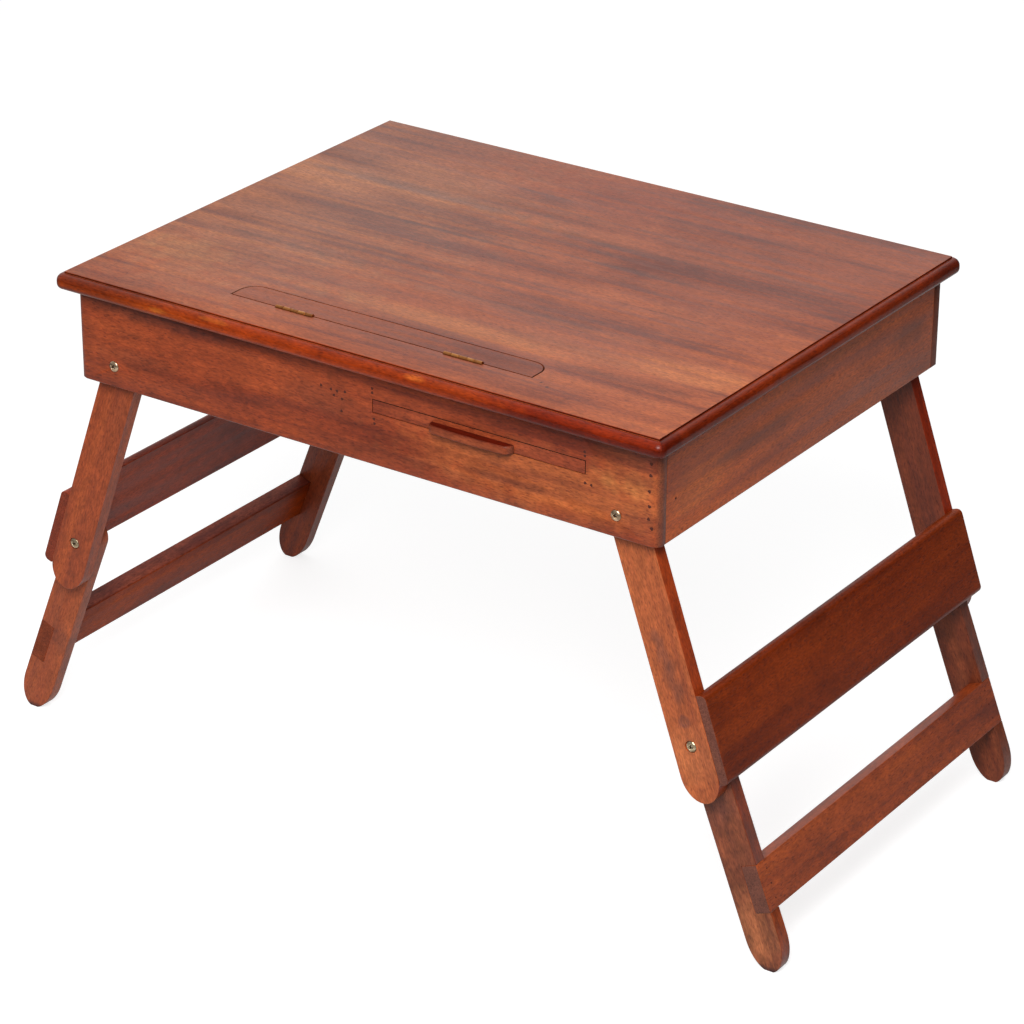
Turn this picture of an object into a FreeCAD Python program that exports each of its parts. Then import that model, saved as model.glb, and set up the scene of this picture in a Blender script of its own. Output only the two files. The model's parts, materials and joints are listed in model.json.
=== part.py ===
import FreeCAD, Part
import math
import os

# Folding lap desk: a moulded top that tilts on a shallow box, a shallow drawer, a flip-up
# book stop, and a pair of two-stage folding legs at each end.
# Millimetres. X runs along the front, +Y to the back, +Z up. The origin is on the floor,
# under the centre of the top, with the legs open.

V = FreeCAD.Vector
X_AXIS = V(1, 0, 0)
Y_AXIS = V(0, 1, 0)
Z_AXIS = V(0, 0, 1)

# ---- fits and clearances
RUN_FIT = 0.05            # radial play of a pin or screw in its bore
HINGE_PLAY = 0.1          # between the closed leaves of a butt hinge, and between knuckles
BARREL_ROOM = 0.5         # wood cut back round a hinge barrel
SLIDE_PLAY = 0.3          # round the drawer in its opening and grooves
SIDE_PLAY = 0.4           # between legs that fold past each other
STOP_PLAY = 0.15          # at the faces that stop the open legs
FOLD_ROOM = 0.6           # over the folded legs
PROP_PLAY = 0.1           # between the prop's rail and the racks
PAST = 1.0                # how far a cut runs past the face it opens

# ---- top
STAND_HEIGHT = 461.0      # floor to the top surface
TOP_LENGTH = 610.0
TOP_DEPTH = 478.0
TOP_THICKNESS = 15.0
QUIRK_INSET = 7.2         # from the outer edge to the step round the top surface
QUIRK_DROP = 1.6
OVOLO_RADIUS = 6.4        # quarter round below the step
NOSING_RADIUS = 4.5       # round under the moulded edge
PLAN_RADIUS = 8.0         # corners of the top, seen from above

# ---- box under the top
SIDE_OVERHANG = 11.7      # top beyond the box at each end
FRONT_OVERHANG = 15.7     # top beyond the box at front and back
APRON_HEIGHT = 84.0
LONG_APRON_THICKNESS = 11.0
END_APRON_THICKNESS = 13.0
CORNER_RADIUS = 8.0       # upright front corners of the box
BACK_CORNER_RADIUS = 2.0
ARRIS = 1.0               # bevel on the edges that hands and legs meet

# ---- book stop
STOP_LENGTH = 302.0
STOP_WIDTH = 26.5
STOP_THICKNESS = 8.0
STOP_GAP = 1.0            # saw kerf round the stop
STOP_BED = 0.5            # under the stop
STOP_FRONT_MARGIN = 48.8  # front edge of the top to the stop's front edge
STOP_CORNER_RADIUS = 15.0
STOP_HINGE_LENGTH = 38.0
STOP_HINGE_MARGIN = 47.0  # end of the stop to the hinge
STOP_SWING_PLAY = 0.3     # lower back edge to its pocket as the stop swings up
STOP_BARREL_RADIUS = 1.9
STOP_LEAF_THICKNESS = 0.9
STOP_LEAF_DEPTH = 6.0
STOP_PIN_RADIUS = 0.9
STOP_KNUCKLES = 3

# ---- hinges of the top
TOP_HINGE_LENGTH = 51.0
TOP_HINGE_MARGIN = 75.3   # end of the box to the hinge
TOP_BARREL_RADIUS = 2.8
TOP_LEAF_THICKNESS = 1.3
TOP_LEAF_WIDTH = 9.5
TOP_PIN_RADIUS = 1.3
TOP_KNUCKLES = 3

# ---- drawer
DRAWER_FRONT_LENGTH = 206.6
DRAWER_FRONT_HEIGHT = 11.8
DRAWER_END_MARGIN = 68.2  # right end of the box to the drawer front
DRAWER_BELOW_TOP = 25.5   # underside of the top to the drawer front's upper edge
DRAWER_DEPTH = 240.0      # back of the drawer front to the back of the tray
DRAWER_SIDE_HEIGHT = 8.8  # lower than the front, so the runners' ends stop the front
DRAWER_SIDE_THICKNESS = 6.0
DRAWER_BOTTOM_THICKNESS = 3.0
DRAWER_BOTTOM_LAP = 2.0   # rebate that holds the bottom in the sides
PULL_LENGTH = 81.0
PULL_REACH = 9.0
PULL_HEIGHT = 7.4
PULL_END_RADIUS = 7.5
PULL_BOW = 1.2            # how far the pull's front bows out in the middle
PULL_SHIFT = 4.8          # pull's centre left of the drawer's centre
RUNNER_THICKNESS = 14.0
RUNNER_GROOVE_DEPTH = 7.0
RUNNER_BELOW_TOP = 13.5   # underside of the top to the runners' upper edge

# ---- legs
PIVOT_RISE = 19.5         # leg pivots above the aprons' lower edge
LEG_THICKNESS = 13.5
UPPER_LEG_WIDTH = 36.0
LOWER_LEG_WIDTH = 33.0
UPPER_LEG_SPLAY = 19.2    # degrees from upright, open
KNEE_DISTANCE = 202.0     # leg pivot to knee
UPPER_LEG_TAIL = 49.5     # upper leg beyond the knee
UPPER_LEG_END_ROUND = 24.0
FOOT_ROUND = 30.0
FOOT_WEAR = 0.8           # flat worn on the round foot
BOARD_WIDTH = 77.5
BOARD_THICKNESS = 9.0
BOARD_ROUND = 5.0
BOARD_CENTRE_PAST_KNEE = -4.5
STRETCHER_WIDTH = 42.0
STRETCHER_THICKNESS = 15.0
STRETCHER_BELOW_KNEE = 131.5
STRETCHER_ROUND = 1.5

# ---- pivot screws and washers
SCREW_RADIUS = 2.5
SCREW_HEAD_RADIUS = 4.9
SCREW_HEAD_HEIGHT = 2.4
SCREW_HOLD = 10.5         # thread in the leg that the screw turns with
WASHER_RADIUS = 9.0
WASHER_THICKNESS = 1.3
KNEE_HEAD_SUNK = 1.6      # counterbore under the knee screws' heads
COUNTERBORE_PLAY = 0.35

# ---- prop under the top
PROP_RAIL_SETBACK = 38.5  # back apron's inner face to the rail, lying closed
PROP_ARM_WIDTH = 12.0
PROP_ARM_THICKNESS = 8.6
PROP_AXIS_DROP = 5.6      # prop pivot and rail below the underside of the top
PROP_RAIL_RADIUS = 4.0
PROP_PIN_RADIUS = 2.2
PROP_BLOCK_LENGTH = 30.0
PROP_BLOCK_WIDTH = 11.0
PROP_BLOCK_HEIGHT = 12.0
RACK_THICKNESS = 8.0
RACK_HEIGHT = 20.0
RACK_OVERRUN = 14.0
RACK_TEETH = 5
TOOTH_DEPTH = 5.0
TOOTH_LAND = 1.0          # flat left on each tooth's crest
TOP_TILT_MAX = 30.0       # degrees, prop in the last notch

# ---- worked out
UNDER_TOP = STAND_HEIGHT - TOP_THICKNESS
APRON_BOTTOM = UNDER_TOP - APRON_HEIGHT
PIVOT_Z = APRON_BOTTOM + PIVOT_RISE
BOX_X = TOP_LENGTH / 2 - SIDE_OVERHANG
BOX_Y = TOP_DEPTH / 2 - FRONT_OVERHANG
BAY_X = BOX_X - END_APRON_THICKNESS
BAY_Y = BOX_Y - LONG_APRON_THICKNESS
DRAWER_CENTRE_X = BOX_X - DRAWER_END_MARGIN - DRAWER_FRONT_LENGTH / 2
SPLAY = math.radians(UPPER_LEG_SPLAY)
UPPER_HALF = UPPER_LEG_WIDTH / 2
LOWER_HALF = LOWER_LEG_WIDTH / 2
# The open upper leg leans on the lower inner edge of the end apron.
PIVOT_INSET = (UPPER_HALF + PIVOT_RISE * math.sin(SPLAY)) / math.cos(SPLAY) + STOP_PLAY
PIVOT_X = BAY_X - PIVOT_INSET
# The open lower leg leans on the lower inner edge of the board.
BOARD_BELOW_KNEE = BOARD_WIDTH / 2 + BOARD_CENTRE_PAST_KNEE
BOARD_EDGE_RADIUS = math.hypot(UPPER_HALF, BOARD_BELOW_KNEE)
OVER_SWING = (math.acos((LOWER_HALF + STOP_PLAY) / BOARD_EDGE_RADIUS)
              - math.atan2(BOARD_BELOW_KNEE, UPPER_HALF))
LOWER_SPLAY = SPLAY + OVER_SWING
KNEE_X = PIVOT_X + KNEE_DISTANCE * math.sin(SPLAY)
KNEE_Z = PIVOT_Z - KNEE_DISTANCE * math.cos(SPLAY)
FOOT_REACH = math.hypot(FOOT_ROUND * math.cos(LOWER_SPLAY), LOWER_HALF * math.sin(LOWER_SPLAY))
FOOT_CENTRE = (KNEE_Z - FOOT_REACH + FOOT_WEAR) / math.cos(LOWER_SPLAY)
UPPER_LEG_OUT = BAY_Y - WASHER_THICKNESS - RUN_FIT
UPPER_LEG_IN = UPPER_LEG_OUT - LEG_THICKNESS
LOWER_LEG_OUT = UPPER_LEG_IN - SIDE_PLAY
LOWER_LEG_IN = LOWER_LEG_OUT - LEG_THICKNESS
STOP_HINGE_Y = -TOP_DEPTH / 2 + STOP_FRONT_MARGIN
STOP_HINGE_X = (STOP_LENGTH - STOP_HINGE_LENGTH) / 2 - STOP_HINGE_MARGIN
TOP_HINGE_Y = -BOX_Y - TOP_BARREL_RADIUS - HINGE_PLAY
TOP_HINGE_X = BOX_X - TOP_HINGE_MARGIN - TOP_HINGE_LENGTH / 2
DRAWER_TOP = UNDER_TOP - DRAWER_BELOW_TOP
DRAWER_BOTTOM = DRAWER_TOP - DRAWER_FRONT_HEIGHT
DRAWER_SIDE_TOP = DRAWER_BOTTOM + DRAWER_SIDE_HEIGHT
TRAY_HALF = DRAWER_FRONT_LENGTH / 2
RUNNER_TOP = UNDER_TOP - RUNNER_BELOW_TOP
RUNNER_BOTTOM = PIVOT_Z + UPPER_HALF + FOLD_ROOM
PROP_AXIS_Z = UNDER_TOP - PROP_AXIS_DROP
# The prop's pivot is midway between the top's hinge and the closed rail.
PROP_ARM_LENGTH = (BAY_Y - PROP_RAIL_SETBACK - TOP_HINGE_Y) / 2
PROP_PIVOT_Y = TOP_HINGE_Y + PROP_ARM_LENGTH
RACK_INNER = BAY_X - RACK_THICKNESS
PROP_ARM_OUT = RACK_INNER - 2 * SIDE_PLAY
PROP_ARM_IN = PROP_ARM_OUT - PROP_ARM_WIDTH


def box(x0, x1, y0, y1, z0, z1):
    return Part.makeBox(x1 - x0, y1 - y0, z1 - z0, V(x0, y0, z0))


def rod(radius, start, direction, length):
    return Part.makeCylinder(radius, length, start, direction)


def mirror_x(shape):
    return shape.mirror(V(0, 0, 0), X_AXIS)


def mirror_y(shape):
    return shape.mirror(V(0, 0, 0), Y_AXIS)


def group(shapes):
    return Part.makeCompound(shapes)


def save(node, shape):
    shape.exportStep("parts/" + node + ".step")


def edges_where(shape, wanted):
    """The edges whose two ends satisfy wanted(a, b)."""
    return [e for e in shape.Edges if len(e.Vertexes) == 2
            and wanted(e.Vertexes[0].Point, e.Vertexes[1].Point)]


def round_edges(shape, radius, wanted):
    return shape.makeFillet(radius, edges_where(shape, wanted))


def bevel_edges(shape, size, wanted):
    return shape.makeChamfer(size, edges_where(shape, wanted))


def along(a, b, axis):
    """True where the edge from a to b runs along one axis: 0, 1 or 2."""
    return all(abs(a[i] - b[i]) < 1e-6 for i in range(3) if i != axis)


# ---- hinges ---------------------------------------------------------------------------

def knuckle_spans(start, length, count):
    """X spans of the fixed leaf's knuckles and of the moving leaf's, in turn."""
    pitch = length / count
    spans = [(start + i * pitch + HINGE_PLAY / 2, start + (i + 1) * pitch - HINGE_PLAY / 2)
             for i in range(count)]
    return spans[0::2], spans[1::2]


def leaf(plate, spans, y, z, barrel_radius):
    """A hinge leaf without its pin: plate, own knuckles, and room for the other leaf's."""
    b = plate.BoundBox
    solid = plate.cut(rod(barrel_radius + HINGE_PLAY, V(b.XMin, y, z), X_AXIS, b.XLength))
    for x0, x1 in spans:
        knuckle = rod(barrel_radius, V(x0, y, z), X_AXIS, x1 - x0)
        tab = plate.common(box(x0, x1, b.YMin, b.YMax, b.ZMin, b.ZMax))
        solid = solid.fuse(knuckle).fuse(tab)
    return solid


def hinge(plates, start, length, count, axis, barrel_radius, pin_radius):
    """The fixed leaf with the pin set in it, and the moving leaf that turns on the pin."""
    odd, even = knuckle_spans(start, length, count)
    first, last = odd[0][0], odd[-1][1]
    pin = rod(pin_radius, V(first, *axis), X_AXIS, last - first)
    bore = rod(pin_radius + RUN_FIT, V(start, *axis), X_AXIS, length)
    fixed = leaf(plates[0], odd, *axis, barrel_radius).fuse(pin)
    moving = leaf(plates[1], even, *axis, barrel_radius).cut(bore)
    return fixed.removeSplitter(), moving.removeSplitter()


def hinge_starts(centre, length):
    """X where each of a left and right pair of hinges starts."""
    return -centre - length / 2, centre - length / 2


def stop_hinges():
    """Two butt hinges let into the upright faces at the front of the book stop."""
    deep = STAND_HEIGHT - STOP_LEAF_DEPTH
    near = HINGE_PLAY / 2
    far = near + STOP_LEAF_THICKNESS
    pairs = []
    for x0 in hinge_starts(STOP_HINGE_X, STOP_HINGE_LENGTH):
        x1 = x0 + STOP_HINGE_LENGTH
        plates = (box(x0, x1, STOP_HINGE_Y - far, STOP_HINGE_Y - near, deep, STAND_HEIGHT),
                  box(x0, x1, STOP_HINGE_Y + near, STOP_HINGE_Y + far, deep, STAND_HEIGHT))
        pairs.append(hinge(plates, x0, STOP_HINGE_LENGTH, STOP_KNUCKLES,
                           (STOP_HINGE_Y, STAND_HEIGHT), STOP_BARREL_RADIUS, STOP_PIN_RADIUS))
    fixed, moving = zip(*pairs)
    return group(fixed), group(moving)


def stop_hinge_room():
    """What the wood gives up to the book stop's hinges, both leaves and barrels."""
    rooms = []
    far = HINGE_PLAY / 2 + STOP_LEAF_THICKNESS
    for x0 in hinge_starts(STOP_HINGE_X, STOP_HINGE_LENGTH):
        rooms.append(box(x0, x0 + STOP_HINGE_LENGTH, STOP_HINGE_Y - far, STOP_HINGE_Y + far,
                         STAND_HEIGHT - STOP_LEAF_DEPTH, STAND_HEIGHT))
        rooms.append(rod(STOP_BARREL_RADIUS + BARREL_ROOM, V(x0, STOP_HINGE_Y, STAND_HEIGHT),
                         X_AXIS, STOP_HINGE_LENGTH))
    return rooms


def top_hinges():
    """Two butt hinges between the front apron and the top, barrels under the moulding."""
    back = -BOX_Y + TOP_LEAF_WIDTH
    near = HINGE_PLAY / 2
    pairs = []
    for x0 in hinge_starts(TOP_HINGE_X, TOP_HINGE_LENGTH):
        x1 = x0 + TOP_HINGE_LENGTH
        plates = (box(x0, x1, TOP_HINGE_Y, back, UNDER_TOP - TOP_LEAF_THICKNESS,
                      UNDER_TOP - near),
                  box(x0, x1, TOP_HINGE_Y, back, UNDER_TOP + near,
                      UNDER_TOP + TOP_LEAF_THICKNESS))
        pairs.append(hinge(plates, x0, TOP_HINGE_LENGTH, TOP_KNUCKLES,
                           (TOP_HINGE_Y, UNDER_TOP), TOP_BARREL_RADIUS, TOP_PIN_RADIUS))
    fixed, moving = zip(*pairs)
    return group(fixed), group(moving)


# ---- top and book stop ----------------------------------------------------------------

def stop_outline(grow):
    """Plan of the book stop, straight in front, its two back corners rounded."""
    x = STOP_LENGTH / 2 + grow
    y0 = STOP_HINGE_Y + STOP_GAP / 2 - grow
    y1 = y0 + STOP_WIDTH + 2 * grow
    r = STOP_CORNER_RADIUS + grow
    s = r * (1 - math.sqrt(0.5))
    left = Part.Arc(V(-x, y1 - r, 0), V(-x + s, y1 - s, 0), V(-x + r, y1, 0)).toShape()
    right = Part.Arc(V(x - r, y1, 0), V(x - s, y1 - s, 0), V(x, y1 - r, 0)).toShape()
    lines = [Part.makeLine(V(-x, y0, 0), V(-x, y1 - r, 0)), left,
             Part.makeLine(V(-x + r, y1, 0), V(x - r, y1, 0)), right,
             Part.makeLine(V(x, y1 - r, 0), V(x, y0, 0)),
             Part.makeLine(V(x, y0, 0), V(-x, y0, 0))]
    return Part.Face(Part.Wire(lines))


def stop_back_bevel():
    """How much comes off the stop's lower back edge, so that it swings out of its pocket."""
    reach = STOP_GAP / 2 + STOP_WIDTH
    free_depth = math.sqrt((reach + STOP_GAP - STOP_SWING_PLAY) ** 2 - reach ** 2)
    return max(STOP_THICKNESS - free_depth, ARRIS / 2)


def book_stop():
    low = STAND_HEIGHT - STOP_THICKNESS
    blade = stop_outline(0).extrude(V(0, 0, STOP_THICKNESS))
    blade.translate(V(0, 0, low))
    front = STOP_HINGE_Y + STOP_GAP / 2
    blade = bevel_edges(blade, stop_back_bevel(),
                        lambda a, b: max(a.z, b.z) < low + 1e-6 and max(a.y, b.y) > front + 1e-6)
    for room in stop_hinge_room():
        blade = blade.cut(room)
    return blade


def top_panel():
    x, y = TOP_LENGTH / 2, TOP_DEPTH / 2
    step = STAND_HEIGHT - QUIRK_DROP
    slab = box(-x, x, -y, y, UNDER_TOP, step)
    slab = round_edges(slab, PLAN_RADIUS, lambda a, b: along(a, b, 2))
    slab = round_edges(slab, OVOLO_RADIUS,
                       lambda a, b: min(a.z, b.z) > step - 1e-6)
    slab = round_edges(slab, NOSING_RADIUS,
                       lambda a, b: max(a.z, b.z) < UNDER_TOP + 1e-6)
    xi, yi = x - QUIRK_INSET, y - QUIRK_INSET
    panel = slab.fuse(box(-xi, xi, -yi, yi, UNDER_TOP + TOP_THICKNESS / 2, STAND_HEIGHT))
    panel = panel.removeSplitter()
    pocket = stop_outline(STOP_GAP).extrude(V(0, 0, STOP_THICKNESS + STOP_BED + PAST))
    pocket.translate(V(0, 0, STAND_HEIGHT - STOP_THICKNESS - STOP_BED))
    panel = panel.cut(pocket)
    for room in stop_hinge_room():
        panel = panel.cut(room)
    for x0 in hinge_starts(TOP_HINGE_X, TOP_HINGE_LENGTH):
        panel = panel.cut(box(x0, x0 + TOP_HINGE_LENGTH, TOP_HINGE_Y, -BOX_Y + TOP_LEAF_WIDTH,
                              UNDER_TOP, UNDER_TOP + TOP_LEAF_THICKNESS))
        panel = panel.cut(rod(TOP_BARREL_RADIUS + BARREL_ROOM,
                              V(x0, TOP_HINGE_Y, UNDER_TOP), X_AXIS, TOP_HINGE_LENGTH))
    return panel


# ---- box ------------------------------------------------------------------------------

def long_apron(corner_radius):
    """Front or back apron, built as the front one, with the bores of the leg pivots."""
    apron = box(-BOX_X, BOX_X, -BOX_Y, -BAY_Y, APRON_BOTTOM, UNDER_TOP)
    corner = min(corner_radius, 0.8 * LONG_APRON_THICKNESS)
    apron = round_edges(apron, corner,
                        lambda a, b: along(a, b, 2) and a.y < -BOX_Y + 1e-6)
    apron = bevel_edges(apron, ARRIS,
                        lambda a, b: max(a.z, b.z) < APRON_BOTTOM + 1e-6
                        and min(a.y, b.y) < -BAY_Y - corner + 1e-6)
    for side in (-1, 1):
        apron = apron.cut(rod(SCREW_RADIUS + RUN_FIT, V(side * PIVOT_X, -BOX_Y, PIVOT_Z),
                              Y_AXIS, LONG_APRON_THICKNESS))
    return apron


def front_apron():
    apron = long_apron(CORNER_RADIUS)
    apron = apron.cut(box(DRAWER_CENTRE_X - TRAY_HALF - SLIDE_PLAY,
                          DRAWER_CENTRE_X + TRAY_HALF + SLIDE_PLAY,
                          -BOX_Y, -BAY_Y, DRAWER_BOTTOM - SLIDE_PLAY, DRAWER_TOP + SLIDE_PLAY))
    for x0 in hinge_starts(TOP_HINGE_X, TOP_HINGE_LENGTH):
        apron = apron.cut(box(x0, x0 + TOP_HINGE_LENGTH, -BOX_Y, -BOX_Y + TOP_LEAF_WIDTH,
                              UNDER_TOP - TOP_LEAF_THICKNESS, UNDER_TOP))
    return apron


def end_apron():
    """Right end apron, held between the front and back aprons."""
    apron = box(BAY_X, BOX_X, -BAY_Y, BAY_Y, APRON_BOTTOM, UNDER_TOP)
    return bevel_edges(apron, ARRIS,
                       lambda a, b: along(a, b, 1) and max(a.z, b.z) < APRON_BOTTOM + 1e-6
                       and a.x > BOX_X - 1e-6)


# ---- drawer ---------------------------------------------------------------------------

def runner(side):
    """A grooved batten from the front apron to the back one, at one side of the drawer."""
    groove_floor = DRAWER_CENTRE_X + side * (TRAY_HALF + SLIDE_PLAY)
    outer = groove_floor + side * (RUNNER_THICKNESS - RUNNER_GROOVE_DEPTH)
    inner = groove_floor - side * RUNNER_GROOVE_DEPTH
    batten = box(min(outer, inner), max(outer, inner), -BAY_Y, BAY_Y, RUNNER_BOTTOM, RUNNER_TOP)
    return batten.cut(box(min(groove_floor, inner), max(groove_floor, inner), -BAY_Y, BAY_Y,
                          DRAWER_BOTTOM - SLIDE_PLAY, DRAWER_SIDE_TOP + SLIDE_PLAY))


def drawer_pieces():
    left = DRAWER_CENTRE_X - TRAY_HALF
    right = DRAWER_CENTRE_X + TRAY_HALF
    front = -BAY_Y
    back = front + DRAWER_DEPTH
    bottom_top = DRAWER_BOTTOM + DRAWER_BOTTOM_THICKNESS
    t = DRAWER_SIDE_THICKNESS
    lap = DRAWER_BOTTOM_LAP
    strip = box(left, right, -BOX_Y, front, DRAWER_BOTTOM, DRAWER_TOP)
    floor = box(left + t - lap, right - t + lap, front, back - t + lap, DRAWER_BOTTOM, bottom_top)
    wall_left = box(left, left + t, front, back, DRAWER_BOTTOM, DRAWER_SIDE_TOP).cut(floor)
    wall_right = box(right - t, right, front, back, DRAWER_BOTTOM, DRAWER_SIDE_TOP).cut(floor)
    wall_back = box(left + t, right - t, back - t, back, DRAWER_BOTTOM, DRAWER_SIDE_TOP)
    wall_back = wall_back.cut(floor)
    return strip, wall_left, wall_right, wall_back, floor


def drawer_pull():
    """A bar with a gently bowed front and quarter-round ends, on the drawer front."""
    centre = DRAWER_CENTRE_X - PULL_SHIFT
    x = PULL_LENGTH / 2
    y_back = -BOX_Y
    y_end = y_back - PULL_REACH + PULL_BOW
    r = min(PULL_END_RADIUS, PULL_REACH - PULL_BOW - 0.2)
    s = r * (1 - math.sqrt(0.5))
    bow = Part.Arc(V(-x + r, y_end, 0), V(0, y_back - PULL_REACH, 0), V(x - r, y_end, 0))
    left = Part.Arc(V(-x, y_end + r, 0), V(-x + s, y_end + s, 0), V(-x + r, y_end, 0))
    right = Part.Arc(V(x - r, y_end, 0), V(x - s, y_end + s, 0), V(x, y_end + r, 0))
    edges = [left.toShape(), bow.toShape(), right.toShape(),
             Part.makeLine(V(x, y_end + r, 0), V(x, y_back, 0)),
             Part.makeLine(V(x, y_back, 0), V(-x, y_back, 0)),
             Part.makeLine(V(-x, y_back, 0), V(-x, y_end + r, 0))]
    bar = Part.Face(Part.Wire(edges)).extrude(V(0, 0, PULL_HEIGHT))
    bar.translate(V(centre, 0, DRAWER_BOTTOM))
    return bevel_edges(bar, ARRIS,
                       lambda a, b: abs(a.z - b.z) < 1e-6 and min(a.y, b.y) < y_back - 1e-6)


# ---- legs -----------------------------------------------------------------------------

def leg_blank(half, outer_y, length, end_round):
    """A leg hanging from its pivot at the origin: round head, half-elliptical lower end."""
    low = end_round - length
    head = Part.Arc(V(-half, 0, 0), V(0, 0, half), V(half, 0, 0)).toShape()
    oval = Part.Ellipse(V(0, 0, -length), V(half, 0, low), V(0, 0, low))
    tail = Part.ArcOfEllipse(oval, -math.pi / 2, math.pi / 2).toShape()
    outline = Part.Wire(Part.__sortEdges__([
        head, Part.makeLine(V(half, 0, 0), V(half, 0, low)), tail,
        Part.makeLine(V(-half, 0, low), V(-half, 0, 0))]))
    blank = Part.Face(outline).extrude(V(0, LEG_THICKNESS, 0))
    blank.translate(V(0, outer_y, 0))
    return blank


def swing(shape, angle, x, z):
    """Turns a hanging piece outward by angle, then moves its pivot to x, z."""
    turned = shape.copy()
    turned.rotate(V(0, 0, 0), Y_AXIS, -math.degrees(angle))
    turned.translate(V(x, 0, z))
    return turned


def upper_leg():
    """Front right upper leg: a pilot hole for its pivot screw, a bore at the knee."""
    length = KNEE_DISTANCE + UPPER_LEG_TAIL
    leg = leg_blank(UPPER_HALF, -UPPER_LEG_OUT, length, UPPER_LEG_END_ROUND)
    pilot = rod(SCREW_RADIUS, V(0, -UPPER_LEG_OUT, 0), Y_AXIS, SCREW_HOLD)
    knee = rod(SCREW_RADIUS + RUN_FIT, V(0, -UPPER_LEG_OUT, -KNEE_DISTANCE), Y_AXIS,
               LEG_THICKNESS)
    sunk = rod(SCREW_HEAD_RADIUS + COUNTERBORE_PLAY, V(0, -UPPER_LEG_OUT, -KNEE_DISTANCE),
               Y_AXIS, KNEE_HEAD_SUNK)
    leg = leg.cut(pilot).cut(knee).cut(sunk)
    return swing(leg, SPLAY, PIVOT_X, PIVOT_Z)


def lower_leg():
    """Front right lower leg: notched for the stretcher, worn flat where it stands."""
    length = FOOT_CENTRE + FOOT_ROUND
    leg = leg_blank(LOWER_HALF, -LOWER_LEG_OUT, length, FOOT_ROUND)
    leg = leg.cut(rod(SCREW_RADIUS, V(0, -LOWER_LEG_OUT, 0), Y_AXIS, SCREW_HOLD))
    leg = leg.cut(stretcher_blank())
    leg = swing(leg, LOWER_SPLAY, KNEE_X, KNEE_Z)
    below = box(KNEE_X, KNEE_X + length, -LOWER_LEG_OUT, -LOWER_LEG_IN, -length, 0)
    return leg.cut(below)


def stretcher_blank():
    return box(LOWER_HALF - STRETCHER_THICKNESS, LOWER_HALF, -LOWER_LEG_OUT, LOWER_LEG_OUT,
               -STRETCHER_BELOW_KNEE - STRETCHER_WIDTH / 2,
               -STRETCHER_BELOW_KNEE + STRETCHER_WIDTH / 2)


def leg_stretcher():
    rail = round_edges(stretcher_blank(), STRETCHER_ROUND,
                       lambda a, b: along(a, b, 1) and a.x < LOWER_HALF - 1e-6)
    return swing(rail, LOWER_SPLAY, KNEE_X, KNEE_Z)


def leg_board():
    """The wide board across the two right upper legs, its long outer edges rounded."""
    centre = -KNEE_DISTANCE - BOARD_CENTRE_PAST_KNEE
    board = box(UPPER_HALF, UPPER_HALF + BOARD_THICKNESS, -UPPER_LEG_OUT, UPPER_LEG_OUT,
                centre - BOARD_WIDTH / 2, centre + BOARD_WIDTH / 2)
    radius = min(BOARD_ROUND, 0.8 * BOARD_THICKNESS)
    board = round_edges(board, radius,
                        lambda a, b: along(a, b, 1) and a.x > UPPER_HALF + 1e-6)
    return swing(board, SPLAY, PIVOT_X, PIVOT_Z)


def pivot_screw(seat, start, end):
    """A screw along +Y: its head sits on y = seat and its shank ends at y = end."""
    head = rod(SCREW_HEAD_RADIUS, V(0, seat - SCREW_HEAD_HEIGHT, 0), Y_AXIS, SCREW_HEAD_HEIGHT)
    screw = head.fuse(rod(SCREW_RADIUS, V(0, seat, 0), Y_AXIS, end - seat))
    screw.translate(start)
    return screw


def upper_screw():
    """Turns with the upper leg, in a plain bore of the apron."""
    seat = -BOX_Y - RUN_FIT
    return pivot_screw(seat, V(PIVOT_X, 0, PIVOT_Z), -UPPER_LEG_OUT + SCREW_HOLD)


def upper_washer():
    disc = rod(WASHER_RADIUS, V(PIVOT_X, -UPPER_LEG_OUT - WASHER_THICKNESS, PIVOT_Z), Y_AXIS,
               WASHER_THICKNESS)
    return disc.cut(rod(SCREW_RADIUS, V(PIVOT_X, -BAY_Y, PIVOT_Z), Y_AXIS,
                        WASHER_THICKNESS + PAST))


def knee_screw():
    """Turns with the lower leg, in a plain bore of the upper leg."""
    seat = -UPPER_LEG_OUT + KNEE_HEAD_SUNK - RUN_FIT
    return pivot_screw(seat, V(KNEE_X, 0, KNEE_Z), -LOWER_LEG_OUT + SCREW_HOLD)


# ---- prop -----------------------------------------------------------------------------

def prop_arm():
    """Right arm of the prop, flat under the closed top, pivot in front, rail behind."""
    r = PROP_ARM_THICKNESS / 2
    y0 = PROP_PIVOT_Y
    y1 = y0 + PROP_ARM_LENGTH
    x0 = PROP_ARM_IN
    bar = box(x0, PROP_ARM_OUT, y0, y1, PROP_AXIS_Z - r, PROP_AXIS_Z + r)
    for y in (y0, y1):
        bar = bar.fuse(rod(r, V(x0, y, PROP_AXIS_Z), X_AXIS, PROP_ARM_WIDTH))
    bar = bar.removeSplitter()
    bar = bar.cut(rod(PROP_PIN_RADIUS + RUN_FIT, V(x0, y0, PROP_AXIS_Z), X_AXIS,
                      PROP_ARM_WIDTH))
    return bar.cut(rod(PROP_RAIL_RADIUS, V(x0, y1, PROP_AXIS_Z), X_AXIS, PROP_ARM_WIDTH))


def prop_rail():
    reach = BAY_X - 3 * SIDE_PLAY
    return rod(PROP_RAIL_RADIUS, V(-reach, PROP_PIVOT_Y + PROP_ARM_LENGTH, PROP_AXIS_Z),
               X_AXIS, 2 * reach)


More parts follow.
